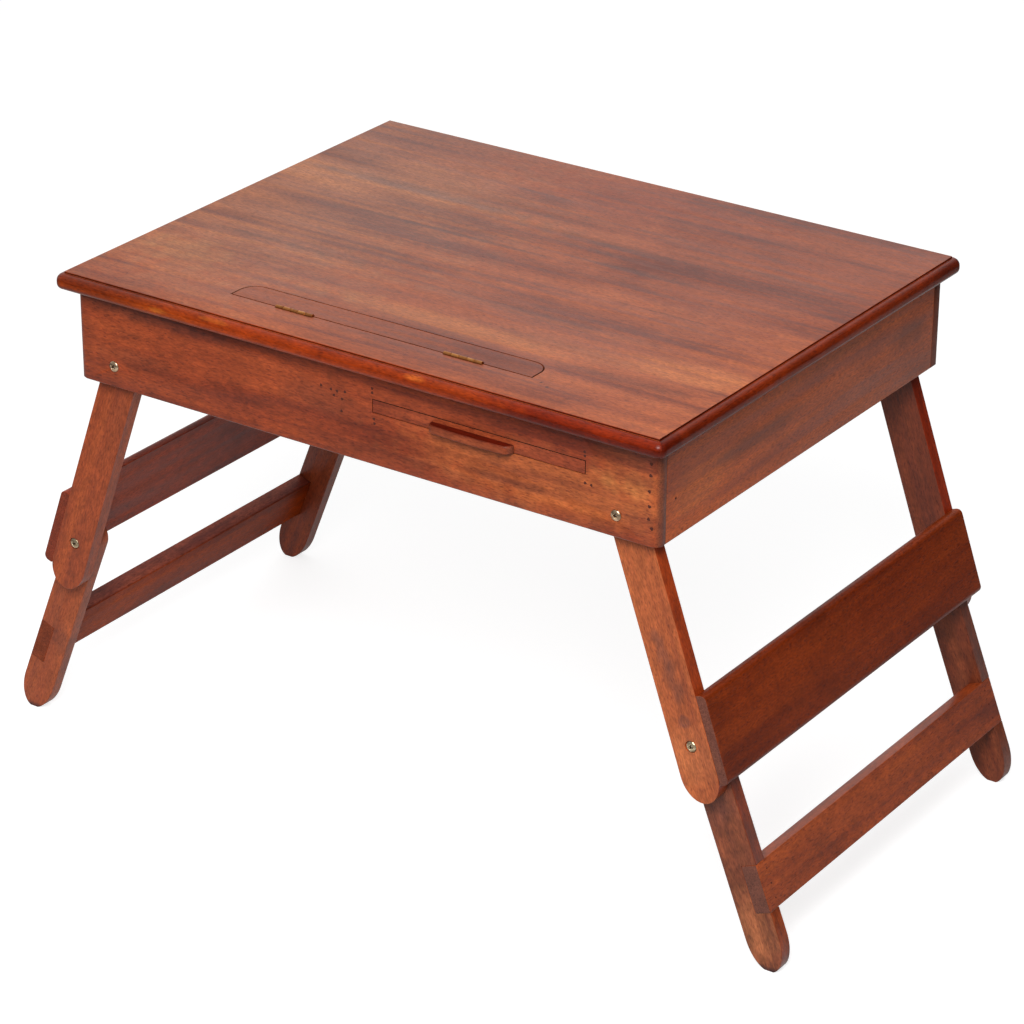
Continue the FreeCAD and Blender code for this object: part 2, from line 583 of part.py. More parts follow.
def prop_block():
    """Block under the top with its pin, on which the right arm turns."""
    x1 = PROP_ARM_IN - SIDE_PLAY
    x0 = x1 - PROP_BLOCK_WIDTH
    half = PROP_BLOCK_LENGTH / 2
    block = box(x0, x1, PROP_PIVOT_Y - half, PROP_PIVOT_Y + half,
                UNDER_TOP - PROP_BLOCK_HEIGHT, UNDER_TOP)
    return block.fuse(rod(PROP_PIN_RADIUS, V(x1, PROP_PIVOT_Y, PROP_AXIS_Z), X_AXIS,
                          PROP_ARM_OUT - x1))


def rail_travel():
    """Y of the prop's rail on the racks: at the steepest tilt, and lying closed."""
    tilt = math.radians(TOP_TILT_MAX)
    forward = 2 * PROP_ARM_LENGTH * math.cos(tilt) + PROP_AXIS_DROP * math.sin(tilt)
    return TOP_HINGE_Y + forward, PROP_PIVOT_Y + PROP_ARM_LENGTH


def rack():
    """Right rack on the end apron: saw teeth that keep the prop's rail from sliding back."""
    steepest, closed = rail_travel()
    crest = PROP_AXIS_Z - PROP_RAIL_RADIUS - PROP_PLAY
    strip = box(RACK_INNER, BAY_X, steepest - RACK_OVERRUN, closed + RACK_OVERRUN,
                crest - RACK_HEIGHT, crest)
    pitch = (closed - steepest) / RACK_TEETH
    for i in range(RACK_TEETH):
        back = steepest + i * pitch + PROP_RAIL_RADIUS + PROP_PLAY
        ramp_foot = back - 2 * PROP_RAIL_RADIUS
        ramp_head = back - pitch + TOOTH_LAND
        corners = [(back, crest), (back, crest - TOOTH_DEPTH), (ramp_foot, crest - TOOTH_DEPTH),
                   (ramp_head, crest), (back, crest)]
        gullet = Part.makePolygon([V(RACK_INNER, y, z) for y, z in corners])
        strip = strip.cut(Part.Face(gullet).extrude(V(RACK_THICKNESS, 0, 0)))
    return strip


# ---- assembly -------------------------------------------------------------------------

def save_box():
    save("front_apron", front_apron())
    save("back_apron", mirror_y(long_apron(BACK_CORNER_RADIUS)))
    save("right_end_apron", end_apron())
    save("left_end_apron", mirror_x(end_apron()))
    save("left_drawer_runner", runner(-1))
    save("right_drawer_runner", runner(1))
    save("right_rack", rack())
    save("left_rack", mirror_x(rack()))


def save_top():
    save("top_panel", top_panel())
    fixed, moving = top_hinges()
    save("top_hinge_apron_leaves", fixed)
    save("top_hinge_top_leaves", moving)
    save("right_prop_block", prop_block())
    save("left_prop_block", mirror_x(prop_block()))
    save("right_prop_arm", prop_arm())
    save("left_prop_arm", mirror_x(prop_arm()))
    save("prop_rail", prop_rail())


def save_book_stop():
    save("book_stop", book_stop())
    fixed, moving = stop_hinges()
    save("stop_hinge_top_leaves", fixed)
    save("stop_hinge_stop_leaves", moving)


def save_drawer():
    strip, wall_left, wall_right, wall_back, floor = drawer_pieces()
    save("drawer_front", strip)
    save("drawer_left_side", wall_left)
    save("drawer_right_side", wall_right)
    save("drawer_back", wall_back)
    save("drawer_bottom", floor)
    save("drawer_pull", drawer_pull())


def save_legs():
    upper, lower = upper_leg(), lower_leg()
    board, stretcher = leg_board(), leg_stretcher()
    pivots = group([upper_screw(), mirror_y(upper_screw())])
    washers = group([upper_washer(), mirror_y(upper_washer())])
    knees = group([knee_screw(), mirror_y(knee_screw())])
    pieces = {"front_upper_leg": upper, "back_upper_leg": mirror_y(upper),
              "leg_board": board,
              "front_lower_leg": lower, "back_lower_leg": mirror_y(lower),
              "leg_stretcher": stretcher,
              "pivot_screws": pivots, "pivot_washers": washers, "knee_screws": knees}
    for name, shape in pieces.items():
        save("right_" + name, shape)
        save("left_" + name, mirror_x(shape))


os.makedirs("parts", exist_ok=True)
save_box()
save_top()
save_book_stop()
save_drawer()
save_legs()
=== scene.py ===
import json
import math

import bmesh
import bpy
from mathutils import Matrix, Vector

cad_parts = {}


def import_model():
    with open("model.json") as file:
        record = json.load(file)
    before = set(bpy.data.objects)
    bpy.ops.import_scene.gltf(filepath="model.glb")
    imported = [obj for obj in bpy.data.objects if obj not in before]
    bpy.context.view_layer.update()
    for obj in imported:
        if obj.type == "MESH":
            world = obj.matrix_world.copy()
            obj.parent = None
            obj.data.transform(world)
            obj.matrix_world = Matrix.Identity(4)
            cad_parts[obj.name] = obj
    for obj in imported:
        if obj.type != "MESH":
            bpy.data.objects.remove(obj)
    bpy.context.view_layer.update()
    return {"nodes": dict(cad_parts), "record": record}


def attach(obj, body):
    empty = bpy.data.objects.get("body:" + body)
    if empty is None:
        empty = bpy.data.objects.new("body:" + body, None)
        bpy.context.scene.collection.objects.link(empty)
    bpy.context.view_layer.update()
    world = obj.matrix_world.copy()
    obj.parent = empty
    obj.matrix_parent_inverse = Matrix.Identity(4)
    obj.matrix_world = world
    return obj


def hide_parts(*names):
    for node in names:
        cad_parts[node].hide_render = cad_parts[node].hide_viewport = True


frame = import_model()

# A folding lap desk in oiled red-brown hardwood, dressed round its CAD model. Lengths are
# in metres, Z is up, and left and right are the viewer's, facing the front.

# ---- places read from the CAD model
UPPER_SPLAY = math.radians(19.2)     # how far the open legs lean outwards
LOWER_SPLAY = math.radians(21.436)
PIVOT = Vector((0.254299, -0.2233, 0.3815))     # right front leg's pivot, on the apron
KNEE_X = 0.320730
KNEE_Z = 0.190736
KNEE_SEAT = 0.20935                  # floor of the counterbore under the knee screws' heads
APRON_FRONT = -0.2233
APRON_END = 0.2933
TOP_SURFACE = 0.461
STEP_X = 0.2978                      # the step round the top's flat field
STEP_Y = 0.2318
STOP_HINGE_Y = -0.1902
STOP_HINGE_STARTS = (-0.104, 0.066)
STOP_HINGE_LENGTH = 0.038
STOP_BARREL_RADIUS = 0.0019
STRETCHER_DROP = 0.1315              # knee to the stretcher, along the lower leg
STRETCHER_END_Y = 0.1845
LOWER_LEG_HALF = 0.0165

# ---- sizes that only the scene has
ARRIS = 0.0007
CRISP_ARRIS = 0.0005                 # beside a hairline gap
STOP_POCKET = ((-0.158, -0.196, 0.450), (0.158, -0.160, 0.470))
DRAWER_OPENING = ((0.015, -0.2240, 0.407), (0.229, -0.2230, 0.422))
SHARP_FROM = math.radians(35)        # edges that get an arris
FLAT_UNDER = math.radians(0.5)       # facets that are merged into one face
SMOOTH_UNDER = 25.0                  # degrees between wooden faces shaded as one curve
STEP_MARGIN = 0.0002                 # inwards from the step, still moulding
CAD_WELD = 2e-6                      # vertices of a CAD mesh this close become one
WELD = 1e-6                          # and those of an eased mesh
DEGENERATE = 1e-7                    # edges this short are dissolved
HEAD_RADIUS = 0.0049                 # screws
HEAD_HEIGHT = 0.0024
HEAD_RIM = 0.0004
HEAD_CURVE = 0.62                    # lower is a fuller dome
SHANK_RADIUS = 0.00245
PIVOT_SHANK = 0.0229
KNEE_SHANK = 0.0227
SEAT_PLAY = 0.00005
CROSS_HALF_WIDTH = 0.00062           # the recess in their heads
CROSS_REACH = 0.0025
CROSS_DEPTH = 0.0011
CROSS_SIDE_SLOPE = 0.00022
CROSS_END_SLOPE = 0.00035
CROSS_RISE = 0.45                    # share of its depth lost at its ends
CROSS_SHADE_FROM = 0.4                     # share of its depth from which it is darkened with painted shade
STOP_KNUCKLES = 5                    # hinges of the book stop
KNUCKLE_PLAY = 0.00006
KNUCKLE_EASE = 0.00028
LEAF_NEAR = 0.00005                  # from the pin's plane to both faces of a leaf
LEAF_FAR = 0.00095
LEAF_DEPTH = 0.006                   # below the top's surface
LEAF_TOP = 0.00196
LEAF_EASE = 0.00012
NECK_DEPTH = 0.0025                  # from a leaf up to its knuckle
NECK_PLAY = 0.0001
NAIL_RADIUS = 0.0014                 # nails
CORNER_NAIL_RADIUS = 0.0016
STRETCHER_NAIL_RADIUS = 0.0009
STRETCHER_NAIL_PITCH = 0.013
NAIL_PROFILE = ((0.35, 0.00012), (0.8, 0.00010), (1.0, -0.0001))   # radius share, rise
NAIL_RAGGED = 0.16

# ---- light and camera
AMBIENT = 0.30                       # studio light from all round
WALL = 0.95                          # white wall behind and to the left
TOWARDS_WALL = (-0.55, 0.70, 0.45)
DUSK = 0.03                          # dark end of the studio, behind and to the right
TOWARDS_DUSK = (0.667, 0.744, -0.02)
KEY_PLACE = (0.98, -1.90, 2.05)      # the one lamp, in front and to the right
KEY_AIM = (0.05, -0.1, 0.3)
KEY_SIZE = 1.1
KEY_POWER = 67.0                     # watts
FLOOR_HALF = 9.0
FLOOR_NEAR = 0.6                     # from here on the floor round the stand gives way
FLOOR_FAR = 1.9                      # to the far floor
NEAR_GLOW, FAR_GLOW = 0.76, 0.96     # the floor to the camera
NEAR_MATT, FAR_MATT = 0.45, 0.08     # the floor to other rays
NEAR_GLOSS = 0.4                     # the floor to gloss
CAMERA_PLACE = (1.69431, -2.46221, 1.65145)     # fitted to the photograph
CAMERA_ANGLES = (34.496, 25.474, 0.297)         # azimuth, elevation and roll in degrees
FOCAL_LENGTH = 3782.28               # in pixels of the photograph
PHOTO_SIDE = 1024
SENSOR_WIDTH = 36.0                  # millimetres


# ---------------------------------------------------------------- shader nodes
class Shader:
    """Short calls to add and link the nodes of a material or a world."""

    def __init__(self, owner):
        owner.use_nodes = True
        self.owner = owner
        self.tree = owner.node_tree

    def node(self, kind, sockets=None, **settings):
        made = self.tree.nodes.new(kind)
        for name, value in settings.items():
            setattr(made, name, value)
        for name, value in (sockets or {}).items():
            self.feed(made.inputs[name], value)
        return made

    def feed(self, socket, value):
        if isinstance(value, bpy.types.NodeSocket):
            self.tree.links.new(value, socket)
        else:
            socket.default_value = value

    def math(self, operation, a, b=0.0, c=0.0):
        made = self.node("ShaderNodeMath", {0: a, 1: b, 2: c}, operation=operation)
        return made.outputs[0]

    def vector(self, operation, a, b=(0.0, 0.0, 0.0), output=0):
        made = self.node("ShaderNodeVectorMath", {0: a, 1: b}, operation=operation)
        return made.outputs[output]

    def ramp(self, factor, *stops):
        """A colour ramp; each stop is a position and a colour, or a position and a grey."""
        made = self.node("ShaderNodeValToRGB", {"Fac": factor})
        points = made.color_ramp.elements
        for _ in stops[2:]:
            points.new(0.5)
        for point, (place, value) in zip(points, sorted(stops)):
            point.position = place
            point.color = value if isinstance(value, tuple) else (value, value, value, 1)
        return made.outputs[0]

    def noise(self, vector, scale, detail=2.0, distortion=0.0):
        made = self.node("ShaderNodeTexNoise", {"Vector": vector, "Scale": scale,
                                                "Detail": detail, "Distortion": distortion})
        return made.outputs[0]

    def mix(self, factor, a, b, blend="MIX"):
        made = self.node("ShaderNodeMix", data_type="RGBA", blend_type=blend)
        self.feed(made.inputs[0], factor)
        self.feed(made.inputs[6], a)
        self.feed(made.inputs[7], b)
        return made.outputs[2]

    def stretched(self, vector, scale):
        return self.vector("MULTIPLY", vector, scale)

    def seen_directly(self, path):
        """1 for rays from the camera, also through glass: only they see pure white."""
        return self.math("MAXIMUM", path.outputs["Is Camera Ray"],
                         path.outputs["Is Transmission Ray"])

    def finish(self, surface):
        self.node("ShaderNodeOutputMaterial", {0: surface})
        return self.owner


def fresh_shader(name):
    s = Shader(bpy.data.materials.new(name))
    s.tree.nodes.clear()
    return s


def rgb(red, green, blue):
    return (red, green, blue, 1.0)


def times(colour, factors):
    return tuple(c * f for c, f in zip(colour, factors)) + (1.0,)


# ---------------------------------------------------------------- wood
# painted shade: the dark colour of the top's step, of hairline gaps and of screw recesses
PAINTED_SHADE = rgb(0.024, 0.006, 0.003)
FIGURE_SPREAD = 0.105                # how far the figure's noise strays from its middle
BOARD_SHIFT = (1.37, 0.61, 0.23)     # from one board to the next in the tree


def fibres(s, place, grain, ratio):
    """Coordinates squeezed along the grain, so that noise draws out into streaks."""
    return s.stretched(place, tuple(ratio if axis == grain else 1.0 for axis in "XYZ"))


def figure(s, place, grain, tone, contrast):
    """The wood's colour from soft patches, long bands and finer streaks. Gives the streaks
    as well, for the gloss."""
    patch = s.noise(fibres(s, place, grain, 0.45), 14.0, 3.0, 0.3)
    band = s.noise(fibres(s, place, grain, 0.07), 26.0, 4.0, 0.4)
    streak = s.noise(fibres(s, place, grain, 0.035), 130.0, 4.0, 0.3)
    value = s.math("MULTIPLY", patch, 0.30)
    value = s.math("MULTIPLY_ADD", band, 0.40, value)
    value = s.math("MULTIPLY_ADD", streak, 0.30, value)
    spread = FIGURE_SPREAD / contrast
    colour = s.ramp(value, (0.5 - spread, times(tone, (0.56, 0.48, 0.58))),
                    (0.5, times(tone, (1, 1, 1))),
                    (0.5 + spread, times(tone, (1.28, 1.42, 1.38))))
    return colour, streak


def aged(s, colour, place, grain, mottle, smoke):
    """Years of handling: a fine mottle all over and some smoky patches."""
    cloud = s.noise(fibres(s, place, grain, 0.6), 110.0, 6.0, 0.2)
    cloud = s.ramp(cloud, (0.32, 1.0 - mottle), (0.68, 1.0 + mottle))
    colour = s.mix(1.0, colour, cloud, "MULTIPLY")
    smudge = s.noise(fibres(s, place, grain, 0.4), 22.0, 5.0, 0.6)
    smudge = s.ramp(smudge, (0.54, 0.0), (0.70, smoke))
    return s.mix(smudge, colour, s.mix(1.0, colour, rgb(0.42, 0.46, 0.85), "MULTIPLY"))


def fleck_and_pores(s, colour, place, grain):
    """Short flecks and dark pores along the fibres; also both patterns, for the bump."""
    fleck = s.noise(fibres(s, place, grain, 0.30), 760.0, 3.0)
    colour = s.mix(1.0, colour, s.ramp(fleck, (0.34, 0.79), (0.66, 1.20)), "MULTIPLY")
    pore = s.noise(fibres(s, place, grain, 0.20), 1000.0, 1.0)
    pore = s.ramp(pore, (0.60, 0.0), (0.68, 1.0))
    shade = s.ramp(pore, (0.0, rgb(1, 1, 1)), (1.0, rgb(0.65, 0.58, 0.63)))
    return s.mix(1.0, colour, shade, "MULTIPLY"), fleck, pore


def end_grain(s, colour, normal, place, grain, cut):
    """Rows of cut pores where the surface lies across the fibres."""
    axis = tuple(float(name == grain) for name in "XYZ")
    facing = s.math("ABSOLUTE", s.vector("DOT_PRODUCT", normal, axis, "Value"))
    speckle = s.noise(place, 700.0, 3.0)
    ends = s.mix(speckle, times(cut, (0.6, 0.55, 0.6)), times(cut, (1.4, 1.45, 1.4)))
    return s.mix(s.ramp(facing, (0.55, 0.0), (0.85, 1.0)), colour, ends)


def worn_edges(s, colour, place, tone, wear):
    """Finish rubbed thin along the arrises, here and there."""
    bevel = s.node("ShaderNodeBevel", {"Radius": 0.0011}, samples=4)
    geometry = s.node("ShaderNodeNewGeometry")
    bend = s.vector("DOT_PRODUCT", bevel.outputs[0], geometry.outputs["Normal"], "Value")
    edge = s.ramp(bend, (0.80, 1.0), (0.985, 0.0))
    here_and_there = s.ramp(s.noise(place, 55.0, 3.0), (0.38, 0.0), (0.68, wear))
    return s.mix(s.math("MULTIPLY", edge, here_and_there), colour,
                 times(tone, (1.55, 2.1, 2.6)))


def spot(s, place, centre, reach, ragged):
    """1 in the middle of an oval mark, falling to 0 at its ragged edge."""
    offset = s.stretched(s.vector("SUBTRACT", place, centre), tuple(1.0 / r for r in reach))
    away = s.vector("LENGTH", offset, output="Value")
    return s.ramp(s.math("ADD", away, ragged), (0.45, 1.0), (1.2, 0.0))


def marked(s, colour, place, marks):
    """Stains, knots, paler patches and some painted light and shade: a centre, a reach and
    how they tint the wood.
    """
    if not marks:
        return colour
    ragged = s.math("MULTIPLY_ADD", s.noise(place, 70.0, 3.0), 0.9, -0.45)
    for centre, reach, tint in marks:
        colour = s.mix(spot(s, place, centre, reach, ragged), colour,
                       s.mix(1.0, colour, rgb(*tint), "MULTIPLY"))
    return colour


def step_painted_shade(s, colour, here, heights):
    """Painted shade between two heights, on the walls of a step."""
    z = s.node("ShaderNodeSeparateXYZ", {0: here}).outputs[2]
    low, high = heights
    between = s.math("MULTIPLY", s.math("GREATER_THAN", z, low),
                     s.math("LESS_THAN", z, high))
    return s.mix(s.math("MULTIPLY", between, 0.85), colour, PAINTED_SHADE)


def wood(name, grain, tone, lean=0.0, shift=(0.0, 0.0, 0.0), contrast=1.0, marks=(),
         wear=0.35, cut=None, heights=None, mottle=0.16, smoke=0.35, rough=(0.34, 0.50),
         shine=(1.34, 0.04), side=None):
    """Oiled hardwood. grain is the axis its fibres run along, lean turns that about Y, and
    shift sets where the board was sawn. cut is the colour of end grain, heights are those
    of a step darkened with painted shade, rough is the least and most roughness, shine is
    the IOR and the coat, and side is an axis and how the faces across it are tinted with
    painted light and shade."""
    s = fresh_shader(name)
    coords = s.node("ShaderNodeTexCoord")
    here = coords.outputs["Object"]
    place = s.vector("ADD", here, shift)
    normal = coords.outputs["Normal"]
    if lean:
        place = s.node("ShaderNodeVectorRotate", {"Vector": place, "Angle": lean},
                       rotation_type="Y_AXIS").outputs[0]
        normal = s.node("ShaderNodeVectorRotate", {"Vector": normal, "Angle": lean},
                        rotation_type="Y_AXIS").outputs[0]
    colour, streak = figure(s, place, grain, tone, contrast)
    cut = cut or times(tone, (0.65, 0.8, 1.1))[:3]
    colour = end_grain(s, colour, normal, place, grain, cut)
    # painted light and shade: faces across the axis are tinted for how they are lit
    if side:
        axis, tint = side
        across = s.math("ABSOLUTE", s.vector("DOT_PRODUCT", normal, axis, "Value"))
        colour = s.mix(s.ramp(across, (0.6, 0.0), (0.9, 1.0)), colour,
                       s.mix(1.0, colour, rgb(*tint), "MULTIPLY"))
    colour = aged(s, colour, place, grain, mottle, smoke)
    colour = marked(s, colour, here, marks)
    colour, fleck, pore = fleck_and_pores(s, colour, place, grain)
    colour = worn_edges(s, colour, place, tone, wear)
    # painted shade on the step between heights
    if heights:
        colour = step_painted_shade(s, colour, here, heights)
    height = s.math("MULTIPLY_ADD", pore, -1.0, s.math("MULTIPLY", fleck, 0.5))
    bump = s.node("ShaderNodeBump", {"Height": height, "Strength": 0.22,
                                     "Distance": 0.0003})
    gloss = s.ramp(streak, (0.3, rough[0]), (0.7, rough[1]))
    shader = s.node("ShaderNodeBsdfPrincipled", {
        "Base Color": colour, "Roughness": gloss, "Normal": bump.outputs[0],
        "IOR": shine[0], "Coat Weight": shine[1], "Coat Roughness": 0.18})
    return s.finish(shader.outputs[0])


# ---------------------------------------------------------------- metal
def metal(name, base, dull, roughness):
    """Old hardware: bare metal with a duller film in patches and fine scratches."""
    s = fresh_shader(name)
    place = s.node("ShaderNodeTexCoord").outputs["Object"]
    patches = s.noise(place, 260.0, 4.0, 0.5)
    scratches = s.noise(s.stretched(place, (0.05, 1, 1)), 2600.0, 2.0)
    colour = s.mix(s.ramp(patches, (0.42, 0.0), (0.66, 1.0)), base, dull)
    rough = s.math("MULTIPLY_ADD", patches, 0.35, roughness - 0.17)
    bump = s.node("ShaderNodeBump", {"Height": scratches, "Strength": 0.12,
                                     "Distance": 0.0001})
    shader = s.node("ShaderNodeBsdfPrincipled", {
        "Base Color": colour, "Metallic": 1.0, "Roughness": rough,
        "Normal": bump.outputs[0]})
    return s.finish(shader.outputs[0])


def filler(name, tone):
    """A dull, gritty fill: stopping over sunk nails, and painted shade in gaps and
    recesses.
    """
    s = fresh_shader(name)
    place = s.node("ShaderNodeTexCoord").outputs["Object"]
    grit = s.noise(place, 3000.0, 3.0)
    colour = s.mix(grit, times(tone, (0.5, 0.5, 0.5)), times(tone, (1.6, 1.6, 1.6)))
    bump = s.node("ShaderNodeBump", {"Height": grit, "Strength": 0.3, "Distance": 0.0001})
    shader = s.node("ShaderNodeBsdfPrincipled", {
        "Base Color": colour, "Roughness": 0.8, "IOR": 1.2, "Normal": bump.outputs[0]})
    return s.finish(shader.outputs[0])


# ---------------------------------------------------------------- pieces
def shown(name, mesh):
    made = bpy.data.objects.new(name, mesh)
    bpy.context.scene.collection.objects.link(made)
    return made


def smooth(mesh, degrees):
    mesh.polygons.foreach_set("use_smooth", [True] * len(mesh.polygons))
    mesh.set_sharp_from_angle(angle=math.radians(degrees))


def body_of(node):
    bodies = frame["record"]["behaviour"]["bodies"]
    return next(body for body, nodes in bodies.items() if node in nodes)


def placed(name, bm, material, body, degrees):
    """A new piece from a bmesh, riding on a body and smooth across angles up to degrees."""
    mesh = bpy.data.meshes.new(name)
    bmesh.ops.recalc_face_normals(bm, faces=bm.faces)
    bm.to_mesh(mesh)
    bm.free()
    smooth(mesh, degrees)
    mesh.materials.append(material)
    piece = shown(name, mesh)
    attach(piece, body)
    return piece


def dressed(node, name, bm, materials, degrees):
    """A piece made here in place of the CAD node, with the node's name in front."""
    piece = placed(node + name, bm, materials[0], body_of(node), degrees)
    for material in materials[1:]:
        piece.data.materials.append(material)
    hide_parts(node)


def sharp_edges(bm, wanted):
    """Edges between two faces at an angle, where wanted says yes to their middle."""
    return [e for e in bm.edges
            if len(e.link_faces) == 2 and e.calc_face_angle() > SHARP_FROM
            and wanted((e.verts[0].co + e.verts[1].co) / 2)]


def ease(bm, arris, segments, wanted):
    """Rounds the sharp edges and returns the new faces."""
    made = bmesh.ops.bevel(bm, geom=sharp_edges(bm, wanted), offset=arris,
                           segments=segments, affect="EDGES", profile=0.5,
                           clamp_overlap=True)
    return made["faces"]


def close_fit(point):
    """Edges that meet another piece across a hairline gap keep a crisp arris."""
    return any(all(low < at < high for low, at, high in zip(lows, point, highs))
               for lows, highs in (STOP_POCKET, DRAWER_OPENING))


def part_of_top(point):
    """0 on the field inside the step, 1 on the front and back moulding, 2 on the ends'."""
    past_x, past_y = abs(point.x) - STEP_X, abs(point.y) - STEP_Y
    if max(past_x, past_y) < -STEP_MARGIN:
        return 0
    return 2 if past_x > past_y else 1


def eased(node, materials, choose=lambda point: 0):
    """The node's own shape with its arrises eased, in place of it. choose gives a face's
    material, and the arrises beside a hairline gap are dark with painted shade."""
    source = frame["nodes"][node].data
    bm = bmesh.new()
    bm.from_mesh(source)
    bmesh.ops.remove_doubles(bm, verts=bm.verts, dist=CAD_WELD)
    bmesh.ops.dissolve_limit(bm, angle_limit=FLAT_UNDER, verts=bm.verts, edges=bm.edges)
    ease(bm, ARRIS, 2, lambda point: not close_fit(point))
    bmesh.ops.remove_doubles(bm, verts=bm.verts, dist=WELD)
    gap = ease(bm, CRISP_ARRIS, 1, close_fit)
    bmesh.ops.remove_doubles(bm, verts=bm.verts, dist=WELD)
    bmesh.ops.dissolve_degenerate(bm, dist=DEGENERATE, edges=bm.edges)
    gap = [face for face in gap if face.is_valid]
    for face in bm.faces:
        face.material_index = choose(face.calc_center_median())
    # painted shade on the faces beside a hairline gap
    for face in gap:
        face.material_index = len(materials)
    dressed(node, "_eased", bm, materials + [PAINTED_RECESS_SHADE] * bool(gap), SMOOTH_UNDER)


def paint(node, material):
    """A better material in the CAD node's own slot."""
    mesh = frame["nodes"][node].data
    if mesh.materials:
        mesh.materials[0] = material
    else:
        mesh.materials.append(material)


def wooden(node, number, grain, tone, **looks):
    """An eased piece of wood; number sets where in the tree it was sawn."""
    shift = tuple(number * step for step in BOARD_SHIFT)
    eased(node, [wood(node + "_wood", grain, tone, shift=shift, **looks)])


# ---------------------------------------------------------------- hardware
def ring_faces(bm, rings):
    """Skins a row of vertex rings and closes both ends."""
    for ring, following in zip(rings, rings[1:]):
        for i, vertex in enumerate(ring):
            j = (i + 1) % len(ring)
            bm.faces.new((vertex, ring[j], following[j], following[i]))
    bm.faces.new(rings[-1])
    bm.faces.new(rings[0])


def recess(u, v):
    """Depth of the cross recess at u, v, as a share of its deepest."""
    across, away = sorted((abs(u), abs(v)))
    side = min(max((CROSS_HALF_WIDTH - across) / CROSS_SIDE_SLOPE, 0.0), 1.0)
    end = min(max((CROSS_REACH - away) / CROSS_END_SLOPE, 0.0), 1.0)
    return side * end * (1.0 - CROSS_RISE * away / CROSS_REACH)


def screw(bm, seat, out, shank, turn):
    """A round-headed screw with a cross recess, whose sunk faces get the second material.
    seat is under its head, out leaves the wood, and turn is how far it was driven."""
    side = Vector((math.cos(turn), 0.0, math.sin(turn)))
    up = out.cross(side)
    segments, steps = 56, 20
    rings, sunk = [], set()
    for step in range(1, steps + 1):
        r = HEAD_RADIUS * step / steps
        rise = (1.0 - (r / HEAD_RADIUS) ** 2) ** HEAD_CURVE
        dome = HEAD_RIM + (HEAD_HEIGHT - HEAD_RIM) * rise
        ring = []
        for i in range(segments):
            angle = 2 * math.pi * i / segments
            u, v = r * math.cos(angle), r * math.sin(angle)
            depth = recess(u, v)
            ring.append(bm.verts.new(seat + side * u + up * v
                                     + out * (dome - CROSS_DEPTH * depth)))
            # painted shade in the deeper part of the cross recess
            if depth > CROSS_SHADE_FROM:
                sunk.add(ring[-1])
        rings.append(ring)
    for r, rise in ((HEAD_RADIUS, 0.0), (SHANK_RADIUS, 0.0), (SHANK_RADIUS, -shank)):
        rings.append([bm.verts.new(seat + out * rise
                                   + side * r * math.cos(2 * math.pi * i / segments)
                                   + up * r * math.sin(2 * math.pi * i / segments))
                      for i in range(segments)])
    ring_faces(bm, rings)
    for vert in sunk:
        for face in vert.link_faces:
            if sunk.issuperset(face.verts):
                face.material_index = 1


def screws(node, x, z, seat_y, shank, material, turns):
    """The front and back screws of one node, with painted shade in their recess."""
    bm = bmesh.new()
    for out_y, turn in zip((-1, 1), turns):
        screw(bm, Vector((x, out_y * seat_y, z)), Vector((0, out_y, 0)), shank, turn)
    dressed(node, "_turned", bm, [material, PAINTED_RECESS_SHADE], 40.0)


def knuckle(bm, x0, x1, y, z, radius):
    """A rolled knuckle with eased ends."""
    length = x1 - x0
    turn = Matrix.Rotation(math.radians(90), 4, "Y")
    middle = Matrix.Translation(((x0 + x1) / 2, y, z))
    made = bmesh.ops.create_cone(bm, cap_ends=True, segments=28, radius1=radius,
                                 radius2=radius, depth=length, matrix=middle @ turn)
    rims = {e for v in made["verts"] for e in v.link_edges
            if abs(e.verts[0].co.x - e.verts[1].co.x) < 1e-7}
    bmesh.ops.bevel(bm, geom=list(rims), offset=KNUCKLE_EASE, segments=2, affect="EDGES")


def plate(bm, low, high):
    """A leaf with eased arrises."""
    centre = (Vector(low) + Vector(high)) / 2
    size = Vector(high) - Vector(low)
    place = Matrix.Translation(centre) @ Matrix.Diagonal((*size, 1.0))
    made = bmesh.ops.create_cube(bm, size=1.0, matrix=place)
    edges = {e for v in made["verts"] for e in v.link_edges}
    bmesh.ops.bevel(bm, geom=list(edges), offset=LEAF_EASE, segments=1, affect="EDGES")


def stop_hinge_leaves(node, near, far, first, material):
    """One side of both book-stop hinges: leaves on edge, and every second knuckle."""
    bm = bmesh.new()
    pitch = STOP_HINGE_LENGTH / STOP_KNUCKLES
    for start in STOP_HINGE_STARTS:
        plate(bm, (start, STOP_HINGE_Y + near, TOP_SURFACE - LEAF_DEPTH),
              (start + STOP_HINGE_LENGTH, STOP_HINGE_Y + far, TOP_SURFACE - LEAF_TOP))
        for i in range(first, STOP_KNUCKLES, 2):
            x0, x1 = start + i * pitch, start + (i + 1) * pitch
            knuckle(bm, x0 + KNUCKLE_PLAY, x1 - KNUCKLE_PLAY,
                    STOP_HINGE_Y, TOP_SURFACE, STOP_BARREL_RADIUS)
            plate(bm, (x0 + NECK_PLAY, STOP_HINGE_Y + near, TOP_SURFACE - NECK_DEPTH),
                  (x1 - NECK_PLAY, STOP_HINGE_Y + far, TOP_SURFACE))
    dressed(node, "_rolled", bm, [material], 30.0)


